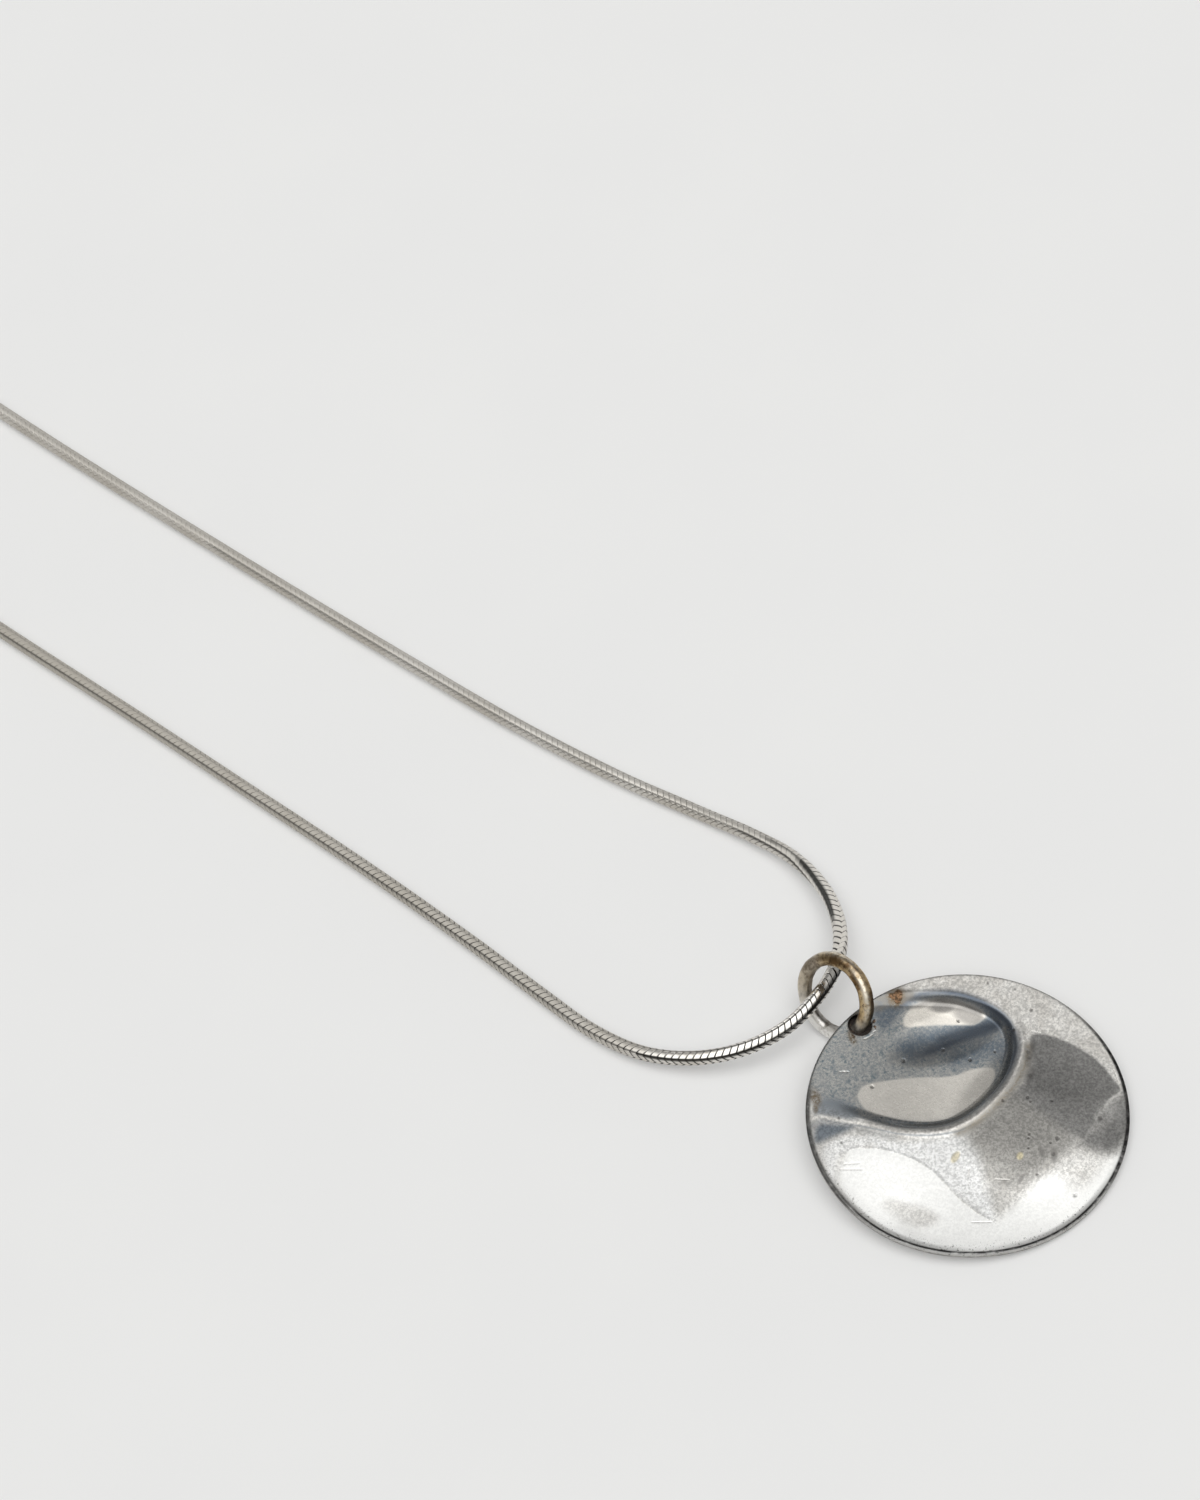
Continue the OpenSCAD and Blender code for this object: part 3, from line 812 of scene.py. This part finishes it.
# %% Lay the disc down
disc_tilt, disc_lift, hole_y = 4.8, 2.045, -93.95
disc_at = Vector((0, hole_y - hole_at[1] * math.cos(math.radians(disc_tilt)), disc_lift)) * MM
for piece in (disc, shade_plug):
    piece.data.transform(Matrix.Translation(disc_at) @ Matrix.Rotation(math.radians(disc_tilt), 4, "X"))
    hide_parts("pendant_disc")
    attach(piece, "root")
print("the disc lies tilted by %.1f degrees" % disc_tilt)

# %% [markdown]
# The jump ring is a piece of round wire, bent round a rod and closed. It was hammered after that, so four
# sides of the wire are a little flat, and there are marks of about a millimetre all over. The wire is swept
# as rings of points, and the flats and marks press points inwards, so the ring never grows past its solid.

# %% Jump ring
ring_r, wire_r = 3.95, 0.75
ring_lean, ring_turn = 62.5, 176.5
ring_at = Vector((1.9, -90.2, ring_r * math.sin(math.radians(ring_lean)) + wire_r)) * MM
ring_steps, wire_sides = 240, 40
round_ring = np.repeat(np.linspace(0, 360, ring_steps, endpoint=False), wire_sides)
round_wire = np.tile(np.linspace(0, 360, wire_sides, endpoint=False), ring_steps)
hammer_marks, deepest_mark, flat_share = 90, 0.04, 0.93
draw = np.random.RandomState(7)
dent = np.zeros(len(round_ring))
for mark in range(hammer_marks):
    a, b, size = draw.uniform(0, 360), draw.uniform(0, 360), draw.uniform(0.3, 0.7)
    da = np.radians((round_ring - a + 180) % 360 - 180) * ring_r
    db = np.radians((round_wire - b + 180) % 360 - 180) * wire_r
    dent = np.maximum(dent, deepest_mark * np.exp(-(da**2 + db**2) / size**2))
cos_wire, sin_wire = np.cos(np.radians(round_wire)), np.sin(np.radians(round_wire))
flat_side = np.minimum(1, flat_share / np.maximum(abs(cos_wire), abs(sin_wire)))
thick = wire_r * flat_side - dent
reach_out = ring_r + thick * cos_wire
ring_angle = np.radians(round_ring)
ring_points = np.c_[reach_out * np.cos(ring_angle), reach_out * np.sin(ring_angle), thick * sin_wire]


def closed_both_ways(rows, size):
    """Faces of a skin over rows of points, closed round each row and from the last row to the first."""
    i, k = np.meshgrid(np.arange(rows), np.arange(size), indexing="ij")
    i2, k2 = (i + 1) % rows, (k + 1) % size
    return np.stack([i * size + k, i2 * size + k, i2 * size + k2, i * size + k2], -1).reshape(-1, 4)


ring = new_object("jump_ring_hammered", ring_points, closed_both_ways(ring_steps, wire_sides).tolist())
ring.data.shade_smooth()
print("jump ring: %d faces, deepest mark %.3f mm" % (len(ring.data.polygons), dent.max()))

# %% [markdown]
# The wire was gilt and the gilding has worn. Along the right and top arcs it is a brown bronze with pale gold
# where it rubs, and that pale gold is painted highlight as well, the left arc is a mottled beige grey, and
# the low arc by the table is bare silver. Masks say where along the ring the gilding is left, where on the
# wire it is brown, where its edges are painted dark as shade, and where it is rubbed pale with painted
# highlight.

# %% Finish of the jump ring
def bump_along(start, middle, end):
    """1 at a bearing on the ring, falling to 0 at two others, in degrees."""
    turn = (round_ring - start) % 360
    up, down = (middle - start) % 360, (end - start) % 360
    return smooth(np.where(turn < up, turn / up, (down - turn) / max(down - up, 1)))


def side_of_wire(middle, half_width):
    """1 on one side of the wire, where 0 is the outside of the ring and 90 its upper face."""
    return np.exp(-(((round_wire - middle + 180) % 360 - 180) / half_width) ** 2)


top_arc, low_arc = bump_along(145, 205, 265), bump_along(300, 350, 40)
outer_edge = bump_along(30, 100, 170) * side_of_wire(-6, 30)
ring_masks = {
    "gilt": bump_along(40, 150, 270),
    "beige": bump_along(140, 270, 345),
    "brown_side": np.maximum(top_arc * side_of_wire(75, 34), 0.8 * side_of_wire(185, 40)),
    # Rubbed pale gold, painted as highlight as well
    "rubbed_and_highlight": np.maximum(bump_along(60, 130, 180) * side_of_wire(48, 22), top_arc * side_of_wire(0, 30)),
    # Dark edges of the wire are painted shade
    "dark_edge": np.maximum(outer_edge, low_arc * np.maximum(side_of_wire(14, 14), side_of_wire(166, 16))),
}
draw_masks(ring, ring_masks)
HAMMERED = {"fleck": (0.4, 3, 0.7), "glint": (0.5, 2, 0.6), "cloud": (1.4, 3, 0.6)}
gilt_wire, tree, marks = start_material("hammered_wire_worn_gilt", HAMMERED, ring_masks)
bare = laid("#F1EFEB", ("#9A958B", ("cloud", 0.5, 0.68)))
beige = laid("#C6BBA8", ("#857A69", ("cloud", 0.4, 0.6)))
bronze = laid("#C2AA82", ("#6A5236", ("cloud", 0.4, 0.6)))
gilding = {0: marks["gilt"], 1: amount("beige", 0.3)}
gilding = add(tree, "Math", gilding, operation="ADD").outputs[0]
colour = laid(
    bare,
    (beige, "beige"),
    (bronze, ("gilt", 0.05, 0.5)),
    ("#3E2F1E", ("fleck", 0.5, 0.64, 0, 0.75), (gilding, 0.1, 0.7)),
    ("#3A2C1C", "brown_side", ("cloud", 0.3, 0.6, 0.95, 0.6)),
    # Painted shade along the wire's edges
    ("#3C352C", "dark_edge", ("cloud", 0.35, 0.6, 1, 0.6)),
    # Pale rubbed gold with painted highlight
    ("#EFE7D6", "rubbed_and_highlight", ("glint", 0.35, 0.55, 0.3, 1)),
)
close_material(colour, amount(("fleck", 0.3, 0.7, 0.28, 0.48)), marks["fleck"], 0.02, 0.5)
ring.data.materials.append(gilt_wire)
pose = Matrix.Rotation(math.radians(ring_turn), 4, "Z") @ Matrix.Rotation(math.radians(ring_lean), 4, "Y")
ring.data.transform(Matrix.Translation(ring_at) @ pose)
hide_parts("jump_ring")
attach(ring, "root")
print("share of the ring that is gilt: %.2f" % ring_masks["gilt"].mean())

# %% [markdown]
# A snake chain lies in a loop that its own stiffness keeps round. Its route is one smooth curve through
# points in millimetres, the same as the solid's. In a bend the plates touch on the inner side, so they stand
# farther apart at the middle, and the curve's bends say where each plate sits.

# %% Route of the chain
# Columns: x, y, and the height of the chain's middle where it is off the table
CHAIN_ROUTE = [
    (-6.4, 122.9, 1.6), (-8.8, 122.9, 1.6), (-11.6, 121.8, 1.4), (-13.5, 119.3, 1.1),
    (-14.3, 115.5, 0.9), (-14.5, 108.5), (-14.5, 97), (-14.4, 80), (-14.2, 62), (-14, 44), (-13.9, 27),
    (-13.8, 10), (-13.55, -7), (-13.45, -24), (-13.4, -40), (-13.75, -54), (-14.3, -64.5),
    (-14.55, -71.5, 0.85), (-13.75, -77.45, 1.2), (-11.5, -82.2, 1.8), (-8.15, -85.8, 2.5),
    (-3.9, -88, 3.1), (0.6, -88.4, 3.4), (5, -87.5, 3.3), (9, -84.9, 2.9), (12.2, -80.5, 2.2),
    (13.9, -75, 1.5), (13.8, -69.5, 1.1), (12.8, -62.5), (11.25, -53), (10, -40), (9.35, -25),
    (8.85, -9), (8.5, 8), (8.3, 25), (8.4, 42), (8.7, 60), (9.1, 78), (9.4, 95), (9.5, 108.5),
    (9.3, 115.5, 0.9), (8.5, 119.3, 1.1), (6.6, 121.8, 1.4), (3.8, 122.9, 1.6), (1.4, 122.9, 1.6),
]
chain_r, plate_pitch = 0.75, 0.69
route = curve([(*point, chain_r)[:3] for point in CHAIN_ROUTE], False, steps=40)
route[:, 2] = np.maximum(route[:, 2], chain_r)
walked = np.concatenate([[0], np.cumsum(np.linalg.norm(np.diff(route, axis=0), axis=1))])


def at_distance(s):
    """Places on the route at distances along it."""
    return np.stack([np.interp(s, walked, route[:, axis]) for axis in range(3)], -1)


def unit(v):
    """Vectors made one long."""
    return v / np.linalg.norm(v, axis=-1, keepdims=True)


def stations(s):
    """Places, directions, sides and ups of the route at distances along it."""
    ahead = unit(at_distance(s + 0.3) - at_distance(s - 0.3))
    side = unit(np.cross(ahead, [0, 0, 1]))
    return at_distance(s), ahead, side, np.cross(side, ahead)


# How sharply the route turns, and from that how many plates lie before each place
ticks = np.linspace(0, walked[-1], 4000)
heading_at = stations(ticks)[1]
turning = np.linalg.norm(np.gradient(heading_at, ticks, axis=0), axis=1)
turning = np.convolve(np.pad(turning, 12, "edge"), np.full(25, 1 / 25), "valid")
passed = np.concatenate([[0], np.cumsum(np.diff(ticks) / (plate_pitch * (1 + chain_r * turning[1:])))])
plates = round(passed[-1])
plate_s = np.interp((np.arange(plates) + 0.5) * passed[-1] / plates, passed, ticks)
print("chain: %.1f mm of route, %d plates, sharpest bend %.1f mm" % (walked[-1], plates, 1 / turning.max()))

# %% [markdown]
# The chain is made of small pressed plates, each a wavy ring that sits in its neighbour. From outside it
# looks like a smooth cord with rows of slanting scales, and dark creases run along it where the rows meet.
# A table shapes one plate.

# %% One plate of the chain
wave, crease, half_plate = 0.6, 0.05, 0.495
# Columns: place across the plate in half widths, depth under the outside in mm, darkness of the groove
plate_shape = np.array([
    (-1, 0.035, 1), (-0.82, 0, 0.3), (-0.5, 0, 0), (0.82, 0, 0), (1, 0.035, 1), (1, 0.18, 1), (-1, 0.18, 1),
])
# Round the plate its edge runs ahead and back three times, and each slope of it makes one row of scales.
# The rows are not equally wide, and points stand closer at the six creases between them.
CREASES = [0, 44, 89, 160, 240, 286, 360]
sector = np.array([0, 0.08, 0.2, 0.5, 0.8, 0.92])
turn = np.concatenate([a + (b - a) * sector for a, b in zip(CREASES[:-1], CREASES[1:])])
plate_sides = len(turn)
place_in_row = np.tile(sector, len(CREASES) - 1)
zigzag = np.where(np.arange(plate_sides) // len(sector) % 2 == 0, place_in_row, 1 - place_in_row)
in_crease = np.interp(np.minimum(place_in_row, 1 - place_in_row), [0, 0.08, 0.2], [1, 0.7, 0])
print("points round a plate: %d" % plate_sides)

# %% [markdown]
# The chain isn't the same all along: its rows wind round it, it is clean where the ring slides and dull
# elsewhere, dark lines of dirt and painted shade follow some creases, and a pale film lies on some rows and
# paints them light. Tables say so, by millimetres along the route from the ring.

# %% Wear and dirt along the chain
# The rows wind round the chain: place, and turn of the first crease from the top towards the outer side
WINDING = [
    (-60, 50), (-18, 48), (-8, 60), (2, 60), (7, 131), (10, 149), (12, 158), (15, 172), (17.5, 195),
    (20, 218), (25, 230), (31, 234), (40, 230),
]
# Place, and how dark the gaps between plates are
GAPS = [
    (-95, 0.35), (-65, 0.6), (-48, 0.95), (-24, 1), (-16, 0.9), (-4, 1), (4, 1), (14, 0.9), (20, 0.6),
    (45, 0.45), (70, 0.25),
]
# Place, and how dull the silver is: it is rubbed clean where the ring slides
DULLED = [
    (-95, 1), (-32, 0.85), (-22, 0.5), (-12, 0), (1, 0), (6, 0.4), (30, 0.4), (60, 0.5), (95, 0.6),
]
# Place, and how thick the pale film of dried polish is on the rows that face away from the middle; it also
# paints those rows light
FILM = [(-95, 0.25), (-26, 0.25), (-18, 0), (1, 0), (5, 0.9), (16, 0.9), (24, 0.4), (60, 0.3), (95, 0.3)]
# Dark lines of dirt and painted shade: turn, its drift a mm, middle place, half stretch in mm, half width in
# degrees, darkness
DARK_LINES = [
    (0, 0, -110, 95, 5, 0.5), (0, 0, -14, 7, 5, 0.9), (0, 0, -5, 6, 10, 0.6), (290, 0, -8, 8, 6, 0.35),
    (0, 0, 2, 5, 8, 1), (157, -2.5, 14, 5, 12, 0.85), (142, -2.5, 20, 4, 7, 0.6), (89, 0, 22, 6, 5, 0.6),
    (89, 0, 60, 38, 5, 0.4), (160, 0, 40, 18, 4, 0.35),
]
under_ring = [1.9, -90.2, 3.3]
ring_s = ticks[np.argmin(np.linalg.norm(at_distance(ticks) - under_ring, axis=1))]
print("the ring hangs %.0f mm along the route" % ring_s)


def chain_marks(from_ring):
    """Masks of plates at places from the ring: dark grooves with painted shade, dullness, and a film that
    also paints rows light.
    """
    gaps, dulled, polish_film_and_light = [np.interp(from_ring, *zip(*table)) for table in (GAPS, DULLED, FILM)]
    # Over the near bend the gaps of the outer scales are painted darker as shadow, more than those on top
    left_bend = smooth((from_ring + 24) / 5) * smooth((2 - from_ring) / 5)
    right_bend = smooth((from_ring - 2) / 2) * smooth((12 - from_ring) / 3)
    gap_shadow = left_bend * ((turn > 3) & (turn < 60)) + 0.6 * right_bend * ((turn > 150) & (turn < 250))
    # Creases and dark lines: dirt with painted shade
    dirt = 0.06 * in_crease * np.ones_like(from_ring)
    for line_turn, drift, middle, stretch, width, dark in DARK_LINES:
        off = np.abs((turn - line_turn - drift * (from_ring - middle) + 180) % 360 - 180)
        reach = smooth((stretch + 1.5 - np.abs(from_ring - middle)) / 3)
        dirt = np.maximum(dirt, dark * reach * smooth(1.5 - off / (2 * width)))
    in_gap = plate_shape[None, :, 2, None]
    groove = np.maximum(np.maximum(gaps * in_gap, gap_shadow * np.minimum(in_gap * 3, 1)), dirt)
    polish_film_and_light = polish_film_and_light * smooth((turn - 80) / 15) * smooth((300 - turn) / 12)
    return {"groove": groove, "dulled": dulled, "polish_film_and_light": polish_film_and_light}


# %% [markdown]
# Copies of the plate are set along the route, each square to it. In a bend more of each plate comes out from
# under its neighbour. They are one mesh and not hundreds of objects, so that masks can run over all of them.

# %% Plates along the route
def chain_piece(name, first, last):
    """A stretch of the chain from one plate to another as one mesh."""
    s = plate_s[first:last]
    place, ahead, side, up = stations(s)
    half_long = np.gradient(plate_s)[first:last] * half_plate
    across = half_long[:, None, None] * plate_shape[None, :, 0, None] + wave * (zigzag - 0.5)
    r = chain_r - plate_shape[:, 1, None] - crease * in_crease
    winding = np.interp(s - ring_s, *zip(*WINDING))
    angle = np.radians(turn[None] + winding[:, None])[:, None, :]
    out, rise = r * np.sin(angle), r * np.cos(angle)
    grid = (
        place[:, None, None]
        + across[..., None] * ahead[:, None, None]
        + out[..., None] * side[:, None, None]
        + rise[..., None] * up[:, None, None]
    )
    one_plate = closed_both_ways(len(plate_shape), plate_sides)
    faces = one_plate + np.arange(last - first)[:, None, None] * len(plate_shape) * plate_sides
    piece = new_object(name, grid.reshape(-1, 3), faces.reshape(-1, 4).tolist())
    piece.data.shade_smooth()
    piece.data.set_sharp_from_angle(angle=math.radians(30))
    masks = chain_marks((s - ring_s)[:, None, None])
    draw_masks(piece, {title: np.broadcast_to(mask, grid.shape[:3]) for title, mask in masks.items()})
    print(name, len(piece.data.polygons), "faces")
    return piece


half = plates // 2
chain_pieces = [chain_piece("snake_chain_left", 0, half), chain_piece("snake_chain_right", half, plates)]

# %% [markdown]
# The plates nest, so no light passes between them. A core inside them does the same here, and it is painted
# dark as the shade inside the chain.

# %% Core of the chain
core_r, core_sides, core_step = 0.57, 12, 1.4
s = np.linspace(0, walked[-1], int(walked[-1] / core_step))
place, ahead, side, up = stations(s)
angle = np.linspace(0, 2 * math.pi, core_sides, endpoint=False)
core_grid = (
    place[:, None]
    + core_r * np.cos(angle)[None, :, None] * side[:, None]
    + core_r * np.sin(angle)[None, :, None] * up[:, None]
)
core_points = np.concatenate([core_grid.reshape(-1, 3), place[:1], place[-1:]])
core = new_object("snake_chain_core", core_points, skin(len(s), core_sides))
core.data.shade_smooth()
draw_masks(core, {"groove": np.ones(len(core_points))})
print("core: %d faces" % len(core.data.polygons))

# %% [markdown]
# Pressed sterling silver. The plates were tumbled bright, so their outsides are smooth, and polish never
# reached the grooves, which have gone brown black. The mask drawn on each plate says where those are, and the
# same dark also paints shadow in the gaps over the bends, shade along some creases, and the core.

# %% Material of the chain
TUMBLED = {"cloud": (7, 2, 0.5), "fleck": (0.3, 2, 0.6)}
chain_silver, tree, marks = start_material("pressed_sterling_plates", TUMBLED, ("groove", "dulled", "polish_film_and_light"))
colour = laid(
    "#E2DFDA",
    ("#CFCAC2", ("cloud", 0.35, 0.65)),
    ("#B9B2A6", ("fleck", 0.5, 0.75, 0, 0.5)),
    ("#BAB5AC", "dulled", 0.85),
    ("#DAD6CF", "polish_film_and_light"),
    # Dark grooves, with painted shadow and shade
    ("#33322F", ("groove", 0.05, 0.8)),
)
rough = amount(("dulled", 0, 1, 0.16, 0.6))
# Where the film of dried polish lies, the metal under it doesn't show, and the rows under it are painted
# light
bare_metal = amount(("polish_film_and_light", 0, 1, 1, 0))
close_material(colour, rough, marks["fleck"], 0.01, 0.3, bare_metal)
for piece in chain_pieces + [core]:
    piece.data.materials.append(chain_silver)
    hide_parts("snake_chain")
    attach(piece, "root")
print("pieces of the chain:", len(chain_pieces) + 1)

# %% [markdown]
# The clasp lies out of the photograph's view, so it is a plain turned barrel with a joint line round it.
# Its solid has the right form already. Turning leaves fine rings round the axis, about 0.1 mm apart. The
# material draws them coarser, 0.75 mm apart, so that they show as a broken glint along the barrel.

# %% Finish of the clasp
turned, tree, marks = start_material("turned_sterling_silver", {"cloud": (3, 2, 0.5)})
# The wave node has 20 radians in each of its units
ring_gap, wave_radians = 0.754, 20
ring_scale = 2 * math.pi / wave_radians / (ring_gap * MM)
rings = {"Vector": marks["here"], "Scale": ring_scale, "Distortion": 0.6}
rings = add(tree, "TexWave", rings, bands_direction="X").outputs[1]
colour = laid("#DAD7D1", ("#BDB7AC", ("cloud", 0.35, 0.65)))
close_material(colour, amount(("cloud", 0.3, 0.7, 0.2, 0.3)), rings, 0.01, 0.25)
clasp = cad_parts["barrel_clasp"]
for entry in clasp.material_slots:
    entry.material = turned
